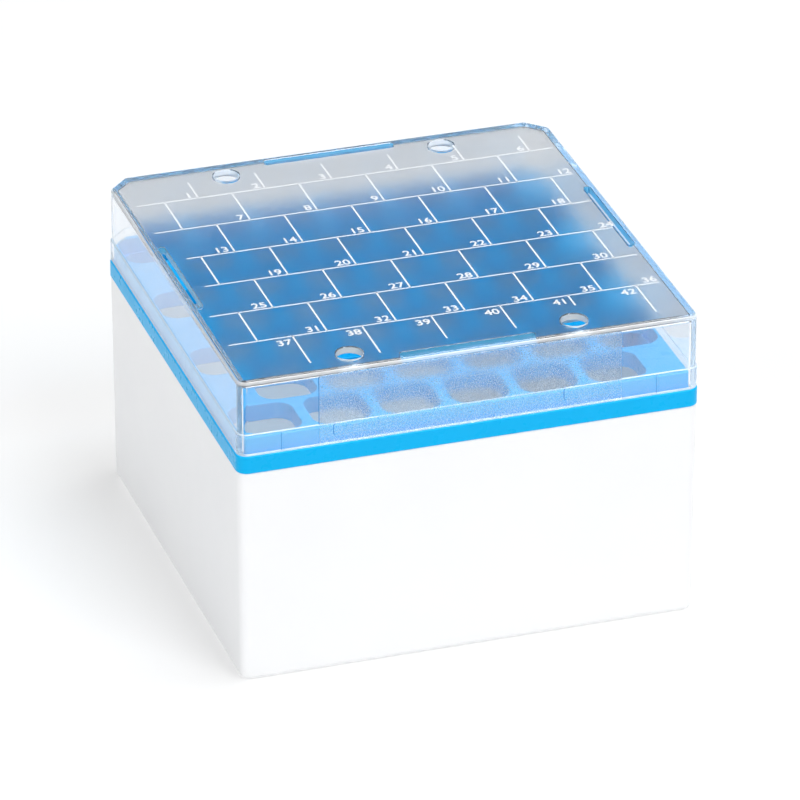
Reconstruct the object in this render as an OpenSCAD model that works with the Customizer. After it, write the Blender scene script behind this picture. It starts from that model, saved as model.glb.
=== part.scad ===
// Cryogenic storage box for 10 ml vials: a white base, a lift-out blue rack
// with staggered cells, and a clear lift-off lid that is keyed at the back.
// Millimetres, +Z up, +Y to the back. Origin: centre of the underside.

/* [Box] */
// Outside width and depth over the rack's rim
box_w = 132; // [130:0.5:134]
// Height of the base, from the underside to the rim
base_h = 64.5; // [50:0.5:90]
// Wall thickness of the base
base_wall = 2; // [1.6:0.1:2.4]
// Floor thickness of the base
base_floor = 2.6; // [2.2:0.1:4]
// How far each side of the base leans in towards the bottom
base_draft = 0.3; // [0:0.05:0.6]
// Radius along the bottom edge of the base
base_edge_r = 2; // [1:0.1:2.4]

/* [Plan outline] */
// Radius of the two front corners
front_r = 3.2; // [3:0.1:5]
// Leg of the two keyed back corners
key_leg = 6; // [4:0.5:6]

/* [Rack] */
// Height of the rim band between the base and the lid
rim_h = 5.1; // [3:0.1:8]
// Height of the cell plate above the rim
plate_h = 4.9; // [3:0.1:5.5]
// Depth of the skirt that drops into the base
rack_skirt_h = 6; // [3:0.5:12]
// Width of each rounded square cell
cell_w = 16.4; // [14:0.1:16.6]
// Corner radius of a cell
cell_r = 4.5; // [2:0.1:6]

/* [Lid] */
// Height of the lid, from the rim to its top face
lid_h = 22.6; // [16:0.1:40]
// Wall thickness of the lid
lid_wall = 1.8; // [1.4:0.1:2]
// Thickness of the lid's top plate
lid_top = 2.2; // [1.6:0.1:3]
// Height of the thicker band along the lid's lower edge
lid_band_h = 6.6; // [6:0.1:8]
// Radius along the lid's top edge
lid_edge_r = 0.9; // [0.5:0.1:1.4]
// Diameter of the vent holes through the lid
vent_d = 7.4; // [4:0.1:9]
// Length of the slot along each edge of the lid's top
slot_len = 38.6; // [20:0.1:50]
// Width of the slots
slot_w = 1.9; // [1.5:0.1:3]

/* [Hidden] */
$fn = 96;
rack_blue = [0.05, 0.55, 0.9];

rows = 7;
cols = 6;
gap = 0.3;                      // clearance between pieces that slide past each other
key_shrink = 2 - sqrt(2);       // a keyed corner's leg shrinks by this for each unit of inset
rim_half = box_w / 2;

// Insets from the rim's outline
base_in = 0.2;
base_cavity_in = base_in + base_wall;
band_in = 0.2;                  // lower band of the lid
lid_in = band_in + 0.4;         // lid above the band
lid_cavity_in = lid_in + lid_wall;
slot_in = lid_cavity_in + 0.2;  // outer edge of the lid's slots
plate_in = lid_cavity_in + gap;
skirt_in = base_cavity_in + base_draft + gap;
rack_cavity_in = skirt_in + 1.6;

// Heights
ledge_z = base_h + rim_h;       // the lid stands on this ledge
plate_z = ledge_z + plate_h;
step_z = ledge_z + lid_band_h;
top_z = ledge_z + lid_h;

// Cells fill the plate up to these edges
side_web = 0.9;
end_web = 1.4;
plate_w = 2 * (rim_half - plate_in);
col_pitch = (plate_w - cell_w - 2 * side_web) / (cols - 0.5);
row_pitch = (plate_w - cell_w - 2 * end_web) / (rows - 1);

seat_d = cell_w + 0.8;          // shallow seat in the base floor under each cell
seat_depth = 0.8;
drain_d = 6;
vent_x = 32;
vent_y = 57.6;
panel_w = 86.4;                 // frosted writing panel on the lid's front
panel_t = 0.3;
panel_margin = 1.4;             // from the panel to the lid's top face
tab_w = 12.9;                   // snap tab on the lower band
tab_h = 3.8;
tab_t = 0.3;
tab_x = 32.8;
bar_x = 53.5;                   // upright bar on the lower band, near each corner
bar_w = 0.7;
bar_t = 0.15;
relief = 1;                     // extra length of every cutting tool

// Square outline, inset from the rim's, with round front and keyed back corners
module plan(inset) {
    half = rim_half - inset;
    r = max(front_r - inset, 0.6);
    k = key_leg - key_shrink * inset;
    corner = half - r;
    polygon([
        [-corner, -half], [corner, -half], [corner, -corner], [half, -corner],
        [half, half - k], [half - k, half], [k - half, half], [-half, half - k],
        [-half, -corner], [-corner, -corner]
    ]);
    for (side = [-1, 1])
        translate([side * corner, -corner])
            circle(r);
}

module prism(inset, z0, z1) {
    translate([0, 0, z0])
        linear_extrude(z1 - z0)
            plan(inset);
}

// Upright profile with leaning sides and a rounded bottom edge
module base_profile(inset, edge_r, z0, z1) {
    high = rim_half - inset;
    low = high - base_draft;
    polygon([
        [edge_r - low, z0], [low - edge_r, z0], [low - edge_r, z0 + edge_r], [low, z0 + edge_r],
        [high, z1], [-high, z1], [-low, z0 + edge_r], [edge_r - low, z0 + edge_r]
    ]);
    for (side = [-1, 1])
        translate([side * (low - edge_r), z0 + edge_r])
            circle(edge_r);
}

// Upright profile with straight sides and a rounded top edge
module lid_profile(inset, edge_r, z0, z1) {
    half = rim_half - inset;
    shoulder = z1 - edge_r;
    polygon([
        [-half, z0], [half, z0], [half, shoulder], [half - edge_r, shoulder],
        [half - edge_r, z1], [edge_r - half, z1], [edge_r - half, shoulder], [-half, shoulder]
    ]);
    for (side = [-1, 1])
        translate([side * (half - edge_r), shoulder])
            circle(edge_r);
}

// The plan prism trimmed to one upright profile, seen from the front and from the side
module moulding(inset, z0, z1) {
    intersection() {
        prism(inset, z0, z1);
        rotate([90, 0, 0])
            linear_extrude(2 * box_w, center = true)
                children();
        rotate([90, 0, 90])
            linear_extrude(2 * box_w, center = true)
                children();
    }
}

// Centre of a cell; neighbouring rows are half a pitch apart
function cell_at(col, row) = [
    (col - (cols - 1) / 2 - (row % 2 == 0 ? 0.25 : -0.25)) * col_pitch,
    (row - (rows - 1) / 2) * row_pitch
];

module at_cells() {
    for (row = [0 : rows - 1], col = [0 : cols - 1])
        translate(cell_at(col, row))
            children();
}

module at_rows() {
    for (row = [0 : rows - 1])
        translate([0, (row - (rows - 1) / 2) * row_pitch])
            children();
}

module cell_outline() {
    flat = cell_w - 2 * cell_r;
    square([cell_w, flat], center = true);
    square([flat, cell_w], center = true);
    for (x = [-1, 1], y = [-1, 1])
        translate([x * flat / 2, y * flat / 2])
            circle(cell_r);
}

// White base: open box with a shallow seat under each cell and four drain holes
module base() {
    color([0.95, 0.95, 0.94])
    difference() {
        moulding(base_in, 0, base_h)
            base_profile(base_in, base_edge_r, 0, base_h);
        moulding(base_cavity_in, base_floor, base_h + relief)
            base_profile(base_cavity_in, 1, base_floor, base_h + relief);
        translate([0, 0, base_floor - seat_depth])
            at_cells()
                cylinder(d = seat_d, h = seat_depth + relief);
        for (col = [0, cols - 2], row = [1, rows - 2])
            translate([cell_at(col, row).x, cell_at(col, row).y, -relief])
                cylinder(d = drain_d, h = base_floor + 2 * relief);
    }
}

// The rack is one blue moulding, in three nodes: its rim, its long bars and its cell webs

// Rim band with the skirt that locates the rack in the base
module rack_rim() {
    color(rack_blue)
    difference() {
        union() {
            prism(0, base_h, ledge_z);
            prism(skirt_in, base_h - rack_skirt_h, base_h + relief);
        }
        prism(rack_cavity_in, base_h - rack_skirt_h - relief, ledge_z + relief);
    }
}

// Between the rows, and along the front and back of the cell plate
module rack_bars() {
    color(rack_blue)
    intersection() {
        prism(plate_in, ledge_z, plate_z);
        translate([0, 0, ledge_z])
            linear_extrude(plate_h)
                difference() {
                    square(box_w, center = true);
                    at_rows()
                        square([2 * box_w, cell_w], center = true);
                }
    }
}

// Between the cells of each row, and at both ends of it
module rack_webs() {
    color(rack_blue)
    intersection() {
        prism(plate_in, ledge_z, plate_z);
        translate([0, 0, ledge_z])
            linear_extrude(plate_h)
                difference() {
                    at_rows()
                        square([2 * box_w, cell_w], center = true);
                    at_cells()
                        cell_outline();
                }
    }
}

// Cuts a slot with round ends through the lid's top, along its front edge
module lid_slot() {
    translate([0, slot_in + slot_w / 2 - rim_half, top_z - lid_top - relief])
        linear_extrude(lid_top + 2 * relief) {
            square([slot_len - slot_w, slot_w], center = true);
            for (end = [-1, 1])
                translate([end * (slot_len - slot_w) / 2, 0])
                    circle(d = slot_w);
        }
}

// A pad centred on x that stands out of the lid's front wall
module front_pad(x, width, inset, proud, z0, z1) {
    translate([x - width / 2, inset - rim_half - proud, z0])
        cube([width, proud + lid_wall / 2, z1 - z0]);
}

module lid_front_pads() {
    front_pad(0, panel_w, lid_in, panel_t, step_z - relief, top_z - panel_margin);
    for (side = [-1, 1]) {
        front_pad(side * tab_x, tab_w, band_in, tab_t, step_z - tab_h, step_z);
        front_pad(side * bar_x, bar_w, band_in, bar_t, ledge_z, step_z);
    }
}

// Clear lid: skirt with a thicker lower band, four round vents and four slots
module lid() {
    color([0.85, 0.92, 0.98, 0.35])
    difference() {
        union() {
            moulding(lid_in, ledge_z, top_z)
                lid_profile(lid_in, lid_edge_r, ledge_z, top_z);
            prism(band_in, ledge_z, step_z);
            lid_front_pads();
        }
        prism(lid_cavity_in, ledge_z - relief, top_z - lid_top);
        for (x = [-1, 1], y = [-1, 1])
            translate([x * vent_x, y * vent_y, top_z - lid_top - relief])
                cylinder(d = vent_d, h = lid_top + 2 * relief);
        for (turn = [0 : 90 : 270])
            rotate([0, 0, turn])
                lid_slot();
    }
}

base();
rack_rim();
rack_bars();
rack_webs();
lid();
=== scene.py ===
"""Looks of the cryogenic storage box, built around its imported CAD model. Metres, +Z up, +Y to the back.

Three mouldings: a white base, a blue rack of 42 cells and a clear lid. The ink of the number grid on the
lid is a piece of its own. Every size that the CAD boxes give is read from them; the rest is named here.
"""

import math

import bmesh
import bpy
from mathutils import Matrix, Vector


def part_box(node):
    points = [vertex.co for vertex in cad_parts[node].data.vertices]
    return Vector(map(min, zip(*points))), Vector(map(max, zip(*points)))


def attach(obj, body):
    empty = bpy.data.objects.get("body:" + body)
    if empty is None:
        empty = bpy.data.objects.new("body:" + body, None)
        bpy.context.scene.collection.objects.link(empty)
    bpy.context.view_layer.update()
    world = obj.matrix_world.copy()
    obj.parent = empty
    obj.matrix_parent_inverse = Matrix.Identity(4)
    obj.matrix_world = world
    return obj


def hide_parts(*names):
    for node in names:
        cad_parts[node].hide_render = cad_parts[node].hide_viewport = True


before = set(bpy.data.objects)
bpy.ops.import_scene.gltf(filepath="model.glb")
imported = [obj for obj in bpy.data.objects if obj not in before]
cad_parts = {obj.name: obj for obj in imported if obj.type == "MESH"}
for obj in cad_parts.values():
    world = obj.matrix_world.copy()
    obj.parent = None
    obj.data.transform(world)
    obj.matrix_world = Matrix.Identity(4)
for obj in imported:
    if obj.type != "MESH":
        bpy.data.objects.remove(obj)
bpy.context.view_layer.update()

MM = 0.001

# ---- Sizes read from the CAD ----

RIM_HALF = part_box("rack_rim")[1].x
BASE_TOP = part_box("base")[1].z
LEDGE_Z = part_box("rack_rim")[1].z
SKIRT_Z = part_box("rack_rim")[0].z
PLATE_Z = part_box("rack_bars")[1].z
PLATE_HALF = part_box("rack_bars")[1].x
TOP_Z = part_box("lid")[1].z

# ---- Sizes of the mouldings; an inset is measured inwards from the rim's outline ----

FRONT_R = 3.2 * MM
KEY_LEG = 6 * MM
KEY_SHRINK = 2 - math.sqrt(2)
KEY_R = 1.2 * MM

ROWS = 7
COLS = 6
CELL_W = 16.4 * MM
CELL_R = 4.5 * MM
SIDE_WEB = 0.9 * MM
END_WEB = 1.4 * MM
COL_PITCH = (2 * PLATE_HALF - CELL_W - 2 * SIDE_WEB) / (COLS - 0.5)
ROW_PITCH = (2 * PLATE_HALF - CELL_W - 2 * END_WEB) / (ROWS - 1)
PLATE_INSET = RIM_HALF - PLATE_HALF

BASE_INSET = 0.2 * MM
BASE_WALL = 2 * MM
BASE_FLOOR = 2.6 * MM
BASE_DRAFT = 0.3 * MM
SEAT_R = (CELL_W + 0.8 * MM) / 2
SEAT_DEPTH = 0.8 * MM
DRAIN_R = 3 * MM

BAND_INSET = 0.2 * MM
LID_INSET = 0.6 * MM
LID_WALL = 1.8 * MM
LID_TOP = 2.2 * MM
LID_EDGE_R = 1.2 * MM
SLOT_LEN = 38.6 * MM
SLOT_W = 1.9 * MM
SLOT_INSET = LID_INSET + LID_WALL + 0.2 * MM
CEILING_Z = TOP_Z - LID_TOP
STEP_Z = LEDGE_Z + 6.6 * MM
LEDGE_GAP = 0.05 * MM
VENT_R = 3.7 * MM
VENT_AT = (32 * MM, 57.6 * MM)
PANEL_W = 86.4 * MM
TAB_X = 32.8 * MM
BAR_X = 53.5 * MM


# ---- Mesh tools ----

def rounded_path(corners, steps, closed=True):
    """Points along a line through (x, y, radius) corners, each corner rounded with steps segments."""
    points = []
    for i, (x, y, radius) in enumerate(corners):
        here = Vector((x, y))
        at_end = not closed and i in (0, len(corners) - 1)
        if radius == 0 or at_end:
            points.append(here)
            continue
        before = (Vector(corners[i - 1][:2]) - here).normalized()
        after = (Vector(corners[(i + 1) % len(corners)][:2]) - here).normalized()
        half = before.angle(after) / 2
        centre = here + (before + after).normalized() * radius / math.sin(half)
        first = here + before * radius / math.tan(half) - centre
        last = here + after * radius / math.tan(half) - centre
        turn = math.atan2(first.cross(last), first.dot(last))
        points += [centre + Matrix.Rotation(turn * s / steps, 2) @ first for s in range(steps + 1)]
    return points


def plan_outline(inset):
    """The box's outline: round front corners and keyed back corners."""
    half = RIM_HALF - inset
    key = KEY_LEG - KEY_SHRINK * inset
    front = max(FRONT_R - inset, 0.6 * MM)
    corners = [
        (-half, -half, front), (half, -half, front),
        (half, half - key, KEY_R), (half - key, half, KEY_R),
        (key - half, half, KEY_R), (-half, half - key, KEY_R),
    ]
    return rounded_path(corners, 10)


def rectangle(width, depth, radius, steps=6):
    """A function that gives the outline of a rounded rectangle for any inset."""
    def outline(inset):
        x = width / 2 - inset
        y = depth / 2 - inset
        r = max(radius - inset, 0.05 * MM)
        return rounded_path([(-x, -y, r), (x, -y, r), (x, y, r), (-x, y, r)], steps)
    return outline


def circle(radius, count=48):
    def outline(inset):
        turns = [2 * math.pi * i / count for i in range(count)]
        return [Vector((math.cos(t), math.sin(t))) * (radius - inset) for t in turns]
    return outline


def loft(bm, outline, profile, closed=False):
    """Adds a solid to bm: the outline swept along a profile of (inset, z) points.
    A closed profile makes a ring, and an open one gets a face over each end."""
    rings = [[bm.verts.new((*p, z)) for p in outline(inset)] for inset, z in profile]
    pairs = list(zip(rings, rings[1:]))
    if closed:
        pairs.append((rings[-1], rings[0]))
    for low, high in pairs:
        for i in range(len(low)):
            bm.faces.new((low[i - 1], low[i], high[i], high[i - 1]))
    if not closed:
        bm.faces.new(rings[0])
        bm.faces.new(rings[-1])


def place(bm, start, matrix):
    """Moves the vertices added since start."""
    bm.verts.ensure_lookup_table()
    bmesh.ops.transform(bm, matrix=matrix, verts=bm.verts[start:])


def add_solids(bm, outline, profile, spots):
    """The same loft at each spot, which is a Matrix or a point."""
    for spot in spots:
        start = len(bm.verts)
        loft(bm, outline, profile)
        place(bm, start, spot if isinstance(spot, Matrix) else Matrix.Translation(spot))


def finish_mesh(bm, name):
    """A new object from bm, with its faces turned outwards."""
    bmesh.ops.recalc_face_normals(bm, faces=bm.faces)
    mesh = bpy.data.meshes.new(name)
    bm.to_mesh(mesh)
    bm.free()
    obj = bpy.data.objects.new(name, mesh)
    bpy.context.scene.collection.objects.link(obj)
    return obj


def solid(name, outline, profile, closed=False):
    bm = bmesh.new()
    loft(bm, outline, profile, closed)
    return finish_mesh(bm, name)


def solids(name, outline, profile, spots):
    bm = bmesh.new()
    add_solids(bm, outline, profile, spots)
    return finish_mesh(bm, name)


def apply_modifiers(obj):
    graph = bpy.context.evaluated_depsgraph_get()
    mesh = bpy.data.meshes.new_from_object(obj.evaluated_get(graph))
    obj.modifiers.clear()
    obj.data = mesh


def combine(obj, operation, tool):
    """Unites or cuts obj with tool, which is used up."""
    modifier = obj.modifiers.new(operation, "BOOLEAN")
    modifier.operation = operation
    modifier.solver = "EXACT"
    modifier.object = tool
    apply_modifiers(obj)
    bpy.data.objects.remove(tool)


def shade(obj, *materials, sharp=35):
    """Smooth shading with flat faces kept flat, and the piece's materials."""
    mesh = obj.data
    bm = bmesh.new()
    bm.from_mesh(mesh)
    bmesh.ops.remove_doubles(bm, verts=bm.verts, dist=0.002 * MM)
    bmesh.ops.recalc_face_normals(bm, faces=bm.faces)
    bm.to_mesh(mesh)
    bm.free()
    mesh.materials.clear()
    for material in materials:
        mesh.materials.append(material)
    mesh.shade_smooth()
    mesh.set_sharp_from_angle(angle=math.radians(sharp))
    normals = obj.modifiers.new("normals", "WEIGHTED_NORMAL")
    normals.keep_sharp = True
    normals.weight = 100


def paint(obj, slot, test):
    """Gives the faces that pass test the material in that slot."""
    for face in obj.data.polygons:
        if test(face):
            face.material_index = slot


# ---- Material tools ----

def new_material(name, **values):
    """A Principled material; underscores in the value names stand for spaces."""
    material = bpy.data.materials.new(name)
    material.use_nodes = True
    shader = material.node_tree.nodes["Principled BSDF"]
    for key, value in values.items():
        shader.inputs[key.replace("_", " ")].default_value = value
    return material, shader


def noise(material, scale, detail=2.0):
    """A noise texture in object coordinates; scale is its grain per metre."""
    nodes = material.node_tree.nodes
    links = material.node_tree.links
    coordinates = nodes.new("ShaderNodeTexCoord")
    texture = nodes.new("ShaderNodeTexNoise")
    texture.inputs["Scale"].default_value = scale
    texture.inputs["Detail"].default_value = detail
    links.new(coordinates.outputs["Object"], texture.inputs["Vector"])
    return texture.outputs["Fac"]


def spread(material, source, low, high):
    """Maps noise, which lies around a half, to a value from low to high."""
    node = material.node_tree.nodes.new("ShaderNodeMapRange")
    node.inputs["From Min"].default_value = 0.3
    node.inputs["From Max"].default_value = 0.7
    node.inputs["To Min"].default_value = low
    node.inputs["To Max"].default_value = high
    material.node_tree.links.new(source, node.inputs["Value"])
    return node.outputs["Result"]


def roughen(material, shader, scale, low, high):
    source = spread(material, noise(material, scale), low, high)
    material.node_tree.links.new(source, shader.inputs["Roughness"])


def emboss(material, shader, scale, height, strength=1.0):
    bump = material.node_tree.nodes.new("ShaderNodeBump")
    bump.inputs["Strength"].default_value = strength
    bump.inputs["Distance"].default_value = height
    material.node_tree.links.new(noise(material, scale, 4), bump.inputs["Height"])
    material.node_tree.links.new(bump.outputs["Normal"], shader.inputs["Normal"])


def tint(material, shader, scale, dark, light, socket="Base Color"):
    """Varies the colour between two colours."""
    mix = material.node_tree.nodes.new("ShaderNodeMix")
    mix.data_type = "RGBA"
    mix.inputs["A"].default_value = (*dark, 1)
    mix.inputs["B"].default_value = (*light, 1)
    source = spread(material, noise(material, scale), 0, 1)
    material.node_tree.links.new(source, mix.inputs["Factor"])
    material.node_tree.links.new(mix.outputs["Result"], shader.inputs[socket])


def let_light_through(material, surface, colour):
    """Lamp and bounced light pass straight through the clear plastic, so what it covers is lit."""
    nodes = material.node_tree.nodes
    links = material.node_tree.links
    path = nodes.new("ShaderNodeLightPath")
    either = nodes.new("ShaderNodeMath")
    either.operation = "MAXIMUM"
    clear = nodes.new("ShaderNodeBsdfTransparent")
    clear.inputs["Color"].default_value = (*colour, 1)
    mix = nodes.new("ShaderNodeMixShader")
    links.new(path.outputs["Is Shadow Ray"], either.inputs[0])
    links.new(path.outputs["Is Diffuse Ray"], either.inputs[1])
    links.new(either.outputs[0], mix.inputs["Fac"])
    links.new(surface.outputs[0], mix.inputs[1])
    links.new(clear.outputs["BSDF"], mix.inputs[2])
    links.new(mix.outputs["Shader"], nodes["Material Output"].inputs["Surface"])


# ---- Materials ----

LID_IOR = 1.58


def white_plastic():
    material, shader = new_material("white_plastic", Roughness=0.4, IOR=1.49)
    tint(material, shader, 40, (0.89, 0.895, 0.905), (0.905, 0.91, 0.915))
    roughen(material, shader, 300, 0.34, 0.46)
    emboss(material, shader, 900, 0.01 * MM, 0.1)
    return material


def blue_plastic():
    material, shader = new_material("blue_plastic", Roughness=0.3, IOR=1.49, Specular_IOR_Level=0.15)
    tint(material, shader, 60, (0.0, 0.435, 0.83), (0.0, 0.45, 0.86))
    roughen(material, shader, 400, 0.25, 0.35)
    emboss(material, shader, 1500, 0.005 * MM, 0.05)
    return material


def clear_plastic(name, haze, low, high, grain, colour=(0.97, 0.985, 1)):
    """Clear lid plastic. Haze is the share of light that it scatters like milk, low to high its roughness."""
    material, shader = new_material(
        name, Base_Color=(*colour, 1), Transmission_Weight=1 - haze, IOR=LID_IOR)
    roughen(material, shader, grain, low, high)
    let_light_through(material, shader, (0.9, 0.97, 1))
    return material


def panel_plastic():
    """The frosted writing panel: fine grains that scatter more light than the plastic between them."""
    material, shader = new_material(
        "panel_plastic", Base_Color=(0.97, 0.985, 1, 1), Transmission_Weight=0.8, IOR=LID_IOR)
    roughen(material, shader, 3000, 0.2, 0.32)
    grains = spread(material, noise(material, 2200), 0.94, 0.76)
    material.node_tree.links.new(grains, shader.inputs["Transmission Weight"])
    let_light_through(material, shader, (0.9, 0.97, 1))
    return material


def frosted_plastic(low, high):
    """The textured underside of the lid's top: it blurs what lies below, and mirrors at grazing angles."""
    material, shader = new_material("frosted_plastic")
    nodes = material.node_tree.nodes
    nodes.remove(shader)
    bend = nodes.new("ShaderNodeBsdfRefraction")
    bend.inputs["IOR"].default_value = LID_IOR
    tint(material, bend, 60, (0.97, 0.98, 0.985), (1, 1, 1), "Color")
    roughen(material, bend, 600, low, high)
    shine = nodes.new("ShaderNodeBsdfGlossy")
    shine.inputs["Roughness"].default_value = 0.2
    fresnel = nodes.new("ShaderNodeFresnel")
    fresnel.inputs["IOR"].default_value = LID_IOR
    mix = nodes.new("ShaderNodeMixShader")
    links = material.node_tree.links
    links.new(fresnel.outputs["Fac"], mix.inputs["Fac"])
    links.new(bend.outputs["BSDF"], mix.inputs[1])
    links.new(shine.outputs["BSDF"], mix.inputs[2])
    let_light_through(material, mix, (0.66, 0.85, 1))
    return material


def white_ink():
    material, shader = new_material("white_ink", Roughness=0.5)
    tint(material, shader, 3000, (0.8, 0.82, 0.84), (0.9, 0.91, 0.92))
    roughen(material, shader, 2000, 0.4, 0.6)
    return material


# ---- The base ----

def cell_at(col, row):
    """Centre of a cell; neighbouring rows are half a pitch apart."""
    shift = 0.25 if row % 2 == 0 else -0.25
    return Vector((
        (col - (COLS - 1) / 2 - shift) * COL_PITCH, (row - (ROWS - 1) / 2) * ROW_PITCH, 0))


CELLS = [cell_at(col, row) for row in range(ROWS) for col in range(COLS)]


def make_base(material):
    inside = BASE_INSET + BASE_WALL
    profile = rounded_path([
        (inside + 3 * MM, BASE_FLOOR, 0),
        (inside + BASE_DRAFT, BASE_FLOOR, 1 * MM),
        (inside, BASE_TOP, 0.4 * MM),
        (BASE_INSET, BASE_TOP, 0.4 * MM),
        (BASE_INSET + BASE_DRAFT, 0, 2 * MM),
        (inside + 3 * MM, 0, 0),
    ], 6, closed=False)
    base = solid("base_shell", plan_outline, profile)
    seat_z = BASE_FLOOR - SEAT_DEPTH
    seats = solids(
        "seats", circle(SEAT_R), [(0.3 * MM, seat_z), (0, seat_z + 0.3 * MM), (0, BASE_FLOOR + MM)], CELLS)
    combine(base, "DIFFERENCE", seats)
    drains = [cell_at(col, row) for col in (0, COLS - 2) for row in (1, ROWS - 2)]
    combine(base, "DIFFERENCE", solids("drains", circle(DRAIN_R), [(0, -MM), (0, BASE_FLOOR)], drains))
    shade(base, material)
    return base


# ---- The rack ----

def add_spline(curve, points):
    spline = curve.splines.new("POLY")
    spline.points.add(len(points) - 1)
    for point, at in zip(spline.points, points):
        point.co = (at.x, at.y, 0, 1)
    spline.use_cyclic_u = True


def make_cell_plate(low, high, edge):
    """The plate with its 42 cells: a flat curve with holes, thickened, with every edge rounded."""
    curve = bpy.data.curves.new("cell_plate", "CURVE")
    curve.dimensions = "2D"
    curve.fill_mode = "BOTH"
    curve.extrude = (high - low) / 2 - edge
    curve.bevel_depth = edge
    curve.bevel_resolution = 3
    curve.offset = -edge
    add_spline(curve, plan_outline(PLATE_INSET))
    cell = rectangle(CELL_W, CELL_W, CELL_R, 8)(0)
    for centre in CELLS:
        add_spline(curve, [centre.to_2d() + p for p in cell])
    obj = bpy.data.objects.new("cell_plate", curve)
    bpy.context.scene.collection.objects.link(obj)
    graph = bpy.context.evaluated_depsgraph_get()
    mesh = bpy.data.meshes.new_from_object(obj.evaluated_get(graph))
    mesh.transform(Matrix.Translation((0, 0, (low + high) / 2)))
    bpy.data.objects.remove(obj)
    return mesh


def make_rack(material):
    skirt = BASE_INSET + BASE_WALL + BASE_DRAFT + 0.3 * MM
    cavity = skirt + 1.6 * MM
    profile = rounded_path([
        (skirt, SKIRT_Z, 0.5 * MM),
        (skirt, BASE_TOP, 0.2 * MM),
        (0, BASE_TOP, 0.3 * MM),
        (0, LEDGE_Z, 0.4 * MM),
        (PLATE_INSET, LEDGE_Z, 0),
        (cavity, LEDGE_Z, 0),
        (cavity, SKIRT_Z, 0.5 * MM),
    ], 5)
    bm = bmesh.new()
    loft(bm, plan_outline, profile, closed=True)
    rack = finish_mesh(bm, "rack_shell")
    bm = bmesh.new()
    bm.from_mesh(make_cell_plate(LEDGE_Z - 0.3 * MM, PLATE_Z, 0.4 * MM))
    bmesh.ops.remove_doubles(bm, verts=bm.verts, dist=0.002 * MM)
    combine(rack, "UNION", finish_mesh(bm, "plate"))
    shade(rack, material)
    return rack


# ---- The lid ----

# The fifth to seventh materials paint light: highlight lines, the blue reflection in the slot walls, and dark
# outlines as shade.
def make_lid(clear, frosted, wall, panel, painted_highlight, edge, painted_outline):
    inside = LID_INSET + LID_WALL
    profile = rounded_path([
        (inside + 2 * MM, CEILING_Z, 0),
        (inside, CEILING_Z, 0.5 * MM),
        (inside, LEDGE_Z + LEDGE_GAP, 0.3 * MM),
        (BAND_INSET, LEDGE_Z + LEDGE_GAP, 0.3 * MM),
        (BAND_INSET, STEP_Z, 0.3 * MM),
        (LID_INSET, STEP_Z, 0.08 * MM),
        (LID_INSET, TOP_Z, LID_EDGE_R),
        (inside + 2 * MM, TOP_Z, 0),
    ], 6, closed=False)
    lid = solid("lid_shell", plan_outline, profile)
    for pad in make_front_pads():
        combine(lid, "UNION", pad)
    combine(lid, "DIFFERENCE", make_vent_tool())
    combine(lid, "DIFFERENCE", make_slot_tool())
    shade(lid, clear, frosted, wall, panel, painted_highlight, edge, painted_outline)
    paint(lid, 1, lambda f: f.normal.z < -0.99 and abs(f.center.z - CEILING_Z) < 0.05 * MM)
    outer = RIM_HALF - LID_INSET - 0.1 * MM
    upright = TOP_Z - LID_EDGE_R
    paint(lid, 2, lambda f: abs(f.normal.z) < 0.1 and max(map(abs, f.center.xy)) > outer and f.center.z < upright)
    panel_edge = PANEL_W / 2 + 0.1 * MM
    paint(lid, 3, lambda f: (
        f.normal.y < -0.9 and f.center.y < -outer and max(abs(v) for v in face_xs(lid, f)) < panel_edge))
    # Slot 4, a white haze that the lamps light, paints highlight lines: on the step, along the lid's bottom edge,
    # on the vent walls and on the lower half of the top edge's rounding.
    paint(lid, 4, lambda f: abs(f.normal.z) > 0.3 and f.center.z < STEP_Z + 0.1 * MM)
    paint(lid, 4, lambda f: abs(f.normal.z) < 0.5 and f.center.z > CEILING_Z and is_by_vent(f.center))
    paint(lid, 4, lambda f: 0.05 < f.normal.z < 0.7 and f.center.z > upright and max(map(abs, f.center.xy)) > outer - 0.8 * MM)
    # Slot 5 tints the slot walls blue: a painted reflection of the blue rack below.
    paint(lid, 5, lambda f: abs(f.normal.z) < 0.5 and f.center.z > CEILING_Z and is_in_slot(f.center))
    # Slot 6 paints the sides of the front tabs and bars dark blue: painted shade for the refraction lines at
    # their sides.
    paint(lid, 6, lambda f: (
        abs(f.normal.x) > 0.3 and abs(f.normal.z) < 0.5 and f.center.y < -outer
        and abs(f.center.x) < BAR_X + 2 * MM))
    return lid


def is_in_slot(point):
    """Whether a point lies on the side of a slot."""
    out, along = sorted(map(abs, point.xy), reverse=True)
    depth = RIM_HALF - SLOT_INSET - out
    return -0.3 * MM < depth < SLOT_W + 0.3 * MM and along < SLOT_LEN / 2 + 0.3 * MM


def is_by_vent(point):
    x, y = VENT_AT
    return math.hypot(abs(point.x) - x, abs(point.y) - y) < VENT_R + 0.5 * MM


def face_xs(obj, face):
    return [obj.data.vertices[i].co.x for i in face.vertices]


def front_pad(x, z_low, z_high, width, face_inset, proud, edge):
    """A pad that stands out of the lid's front wall, with a rounded edge all round."""
    face_y = face_inset - RIM_HALF - proud
    turned = Matrix.Translation((x, face_y, (z_low + z_high) / 2)) @ Matrix.Rotation(math.radians(90), 4, "X")
    profile = rounded_path([
        (0, -LID_WALL / 2, 0), (0, 0, edge), (2 * edge, 0, 0)], 4, closed=False)
    outline = rectangle(width, z_high - z_low, min(3 * edge, 0.4 * width), 4)
    return solids("pad", outline, profile, [turned])


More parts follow.
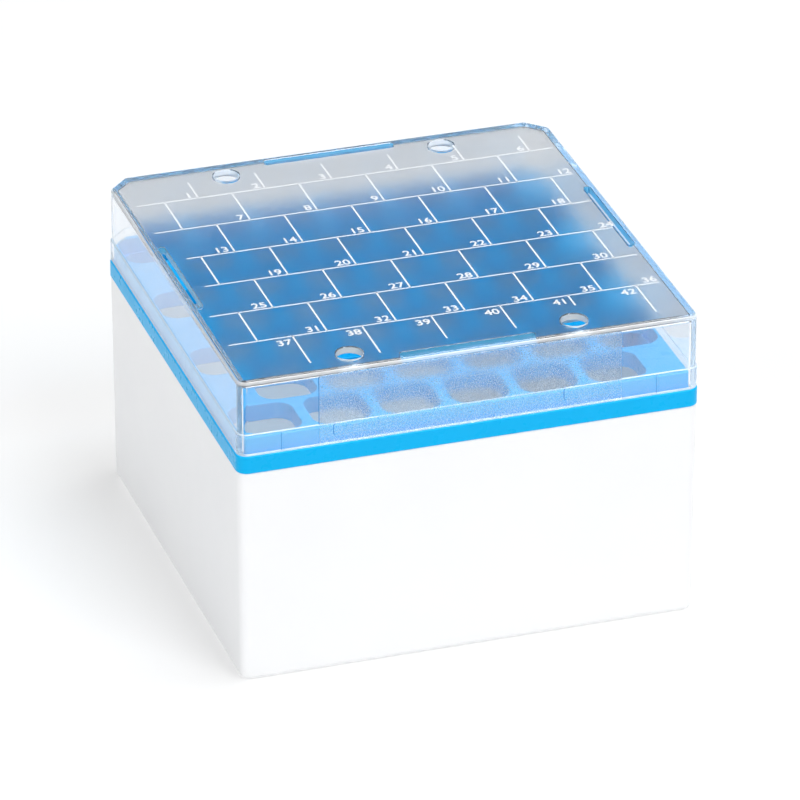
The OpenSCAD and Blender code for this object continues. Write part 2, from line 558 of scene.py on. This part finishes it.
def make_front_pads():
    band_low = LEDGE_Z + 0.5 * MM
    pads = [
        front_pad(0, STEP_Z - MM, TOP_Z - 1.4 * MM, PANEL_W, LID_INSET, 0.3 * MM, 0.26 * MM),
        front_pad(0, band_low, STEP_Z - 0.3 * MM, PANEL_W, BAND_INSET, 0.06 * MM, 0.05 * MM),
    ]
    for side in (-1, 1):
        pads.append(front_pad(
            side * TAB_X, STEP_Z - 3.8 * MM, STEP_Z, 12.9 * MM, BAND_INSET, 0.3 * MM, 0.28 * MM))
        pads.append(front_pad(
            side * BAR_X, band_low, STEP_Z - 0.3 * MM, 0.7 * MM, BAND_INSET, 0.15 * MM, 0.14 * MM))
    return pads


def through_top(flare):
    """Profile of a hole through the lid's top, flared at both faces."""
    return [
        (-flare, CEILING_Z - MM), (-flare, CEILING_Z - 0.02 * MM), (0, CEILING_Z + flare),
        (0, TOP_Z - flare), (-flare, TOP_Z + 0.02 * MM), (-flare, TOP_Z + MM),
    ]


def make_vent_tool():
    x, y = VENT_AT
    spots = [Vector((i * x, j * y, 0)) for i in (-1, 1) for j in (-1, 1)]
    return solids("vents", circle(VENT_R), through_top(0.25 * MM), spots)


def make_slot_tool():
    """One slot along each edge of the top."""
    out = RIM_HALF - SLOT_INSET - SLOT_W / 2
    spots = [
        Matrix.Rotation(math.radians(turn), 4, "Z") @ Matrix.Translation((0, -out, 0))
        for turn in (0, 90, 180, 270)
    ]
    return solids("slots", rectangle(SLOT_LEN, SLOT_W, SLOT_W / 2 - 0.01 * MM), through_top(0.12 * MM), spots)


# ---- The printed grid on the lid ----

LINE_W = 0.5 * MM
INK_Z = TOP_Z + 0.01 * MM
INK_T = 0.03 * MM
GRID_Y = [45.94 * MM - i * ROW_PITCH for i in range(ROWS - 1)]
GRID_X = 61.7 * MM
ROWS_AT_SLOT = (2, 3)
GRID_AT_SLOT = (-57.7 * MM, 60.9 * MM)
TICK_X = (-43.71 * MM, -53.57 * MM)
TICK_TOP = 56.3 * MM
TICK_BOTTOM = (-60.1 * MM, -60.1 * MM, -57.6 * MM, -57.6 * MM, -49.8 * MM, -60.1 * MM)
DIGIT_H = 3 * MM


def add_bar(bm, x0, x1, y0, y1):
    """A flat bar of ink."""
    matrix = Matrix.Translation(((x0 + x1) / 2, (y0 + y1) / 2, INK_Z + INK_T / 2))
    size = Matrix.Diagonal((abs(x1 - x0), abs(y1 - y0), INK_T, 1))
    bmesh.ops.create_cube(bm, size=1, matrix=matrix @ size)


def make_grid():
    bm = bmesh.new()
    half = LINE_W / 2
    for i, y in enumerate(GRID_Y):
        left, right = GRID_AT_SLOT if i in ROWS_AT_SLOT else (-GRID_X, GRID_X)
        add_bar(bm, left, right, y - half, y + half)
    for row in range(ROWS):
        for col in range(COLS):
            x = TICK_X[row % 2] + col * COL_PITCH
            high = TICK_TOP if row == 0 else GRID_Y[row - 1]
            low = TICK_BOTTOM[col] if row == ROWS - 1 else GRID_Y[row]
            add_bar(bm, x - half, x + half, low, high)
    return finish_mesh(bm, "print_lines")


def number_mesh(number, x, y):
    """The number's digits as thin ink; x, y is the lower right corner."""
    text = bpy.data.curves.new("number", "FONT")
    text.body = str(number)
    text.size = DIGIT_H / 0.7
    text.align_x = "RIGHT"
    text.offset = 0.08 * MM
    text.extrude = INK_T / 2
    obj = bpy.data.objects.new("number", text)
    bpy.context.scene.collection.objects.link(obj)
    graph = bpy.context.evaluated_depsgraph_get()
    mesh = bpy.data.meshes.new_from_object(obj.evaluated_get(graph))
    mesh.transform(Matrix.Translation((x, y, INK_Z + INK_T / 2)))
    bpy.data.objects.remove(obj)
    return mesh


def make_print(material):
    grid = make_grid()
    bm = bmesh.new()
    bm.from_mesh(grid.data)
    bpy.data.objects.remove(grid)
    for row in range(ROWS):
        for col in range(COLS):
            tick = TICK_X[row % 2] + (col + row % 2) * COL_PITCH
            x = min(tick - 1.1 * MM, GRID_X)
            y = GRID_Y[-1] - 1.5 * MM - DIGIT_H if row == ROWS - 1 else GRID_Y[row] + 0.9 * MM
            bm.from_mesh(number_mesh(row * COLS + col + 1, x, y))
    ink = finish_mesh(bm, "lid_print")
    ink.data.materials.append(material)
    return ink


# ---- Build ----

base = make_base(white_plastic())
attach(base, "base")
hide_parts("base")

rack = make_rack(blue_plastic())
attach(rack, "rack")
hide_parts("rack_rim", "rack_bars", "rack_webs")

lid = make_lid(
    clear_plastic("clear_plastic", 0, 0.0, 0.03, 200),
    frosted_plastic(0.28, 0.33),
    clear_plastic("wall_plastic", 0.12, 0.0, 0.04, 400),
    panel_plastic(),
    # Painted highlight: a white haze for the highlight lines on the lid's edges and vent walls.
    clear_plastic("painted_highlight_plastic", 0.5, 0.0, 0.05, 400),
    # Painted reflection: a blue haze on the slot walls for the blue rack seen in them.
    clear_plastic("painted_reflection_plastic", 0.5, 0.0, 0.05, 400, (0.1, 0.5, 0.85)),
    # Painted shade: a dark blue haze outlining the front tabs and bars.
    clear_plastic("painted_outline_plastic", 0.8, 0.0, 0.05, 400, (0.01, 0.25, 0.65)),
)
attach(lid, "lid")
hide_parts("lid")

ink = make_print(white_ink())
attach(ink, "lid")


# ---- Floor, light and camera ----

def make_floor():
    bm = bmesh.new()
    bmesh.ops.create_grid(bm, x_segments=1, y_segments=1, size=3)
    floor = finish_mesh(bm, "floor")
    floor.location.z = -0.02 * MM
    material, shader = new_material(
        "floor", Base_Color=(0.55, 0.55, 0.55, 1), Roughness=0.4, Specular_IOR_Level=0.2,
        Emission_Color=(1, 1, 1, 1), Emission_Strength=0.43)
    floor.data.materials.append(material)


def make_softbox(name, at, aim, size, power):
    light = bpy.data.lights.new(name, "AREA")
    light.shape = "RECTANGLE"
    light.size, light.size_y = size
    light.energy = power
    obj = bpy.data.objects.new(name, light)
    obj.location = at
    obj.rotation_euler = (Vector(aim) - Vector(at)).to_track_quat("-Z", "Y").to_euler()
    bpy.context.scene.collection.objects.link(obj)


def make_world(front, behind):
    """A dim studio: its brightness is front before the box and behind at the back of it."""
    world = bpy.data.worlds.new("studio")
    world.use_nodes = True
    nodes = world.node_tree.nodes
    links = world.node_tree.links
    background = nodes["Background"]
    background.inputs["Color"].default_value = (0.93, 0.96, 1, 1)
    coordinates = nodes.new("ShaderNodeTexCoord")
    axes = nodes.new("ShaderNodeSeparateXYZ")
    blend = nodes.new("ShaderNodeMapRange")
    blend.interpolation_type = "SMOOTHSTEP"
    blend.inputs["From Min"].default_value = -0.4
    blend.inputs["From Max"].default_value = 0.5
    blend.inputs["To Min"].default_value = front
    blend.inputs["To Max"].default_value = behind
    links.new(coordinates.outputs["Generated"], axes.inputs[0])
    links.new(axes.outputs["Y"], blend.inputs["Value"])
    links.new(blend.outputs["Result"], background.inputs["Strength"])
    bpy.context.scene.world = world


def make_camera():
    azimuth = math.radians(-17.98)
    elevation = math.radians(27.70)
    back = Vector((
        math.sin(azimuth) * math.cos(elevation),
        -math.cos(azimuth) * math.cos(elevation),
        math.sin(elevation),
    ))
    aim = Vector((0.40, -1.91, 44.77)) * MM
    camera = bpy.data.objects.new("camera", bpy.data.cameras.new("camera"))
    camera.data.lens = 315.5
    camera.data.sensor_width = 36
    camera.data.clip_end = 20
    camera.location = aim + back * 1.9647
    camera.rotation_euler = (-back).to_track_quat("-Z", "Y").to_euler()
    bpy.context.scene.collection.objects.link(camera)
    bpy.context.scene.camera = camera


def set_bounces():
    """Light is reflected many times inside the clear walls before it leaves them."""
    cycles = bpy.context.scene.cycles
    cycles.max_bounces = 32
    cycles.glossy_bounces = 24
    cycles.transmission_bounces = 32
    cycles.transparent_max_bounces = 32


make_floor()
make_softbox("front", (1.05, -2.6, 2.6), (0, 0, 0.05), (2.0, 1.6), 69)
make_softbox("left", (-3.2, -0.9, 2.0), (0, 0, 0.05), (1.6, 1.6), 52)
make_softbox("top", (0.6, 0.1, 1.8), (0.1, 0, 0.05), (1.2, 1.2), 24)
make_world(0.3, 0.03)
make_camera()
set_bounces()
bpy.context.scene.view_settings.view_transform = "Standard"
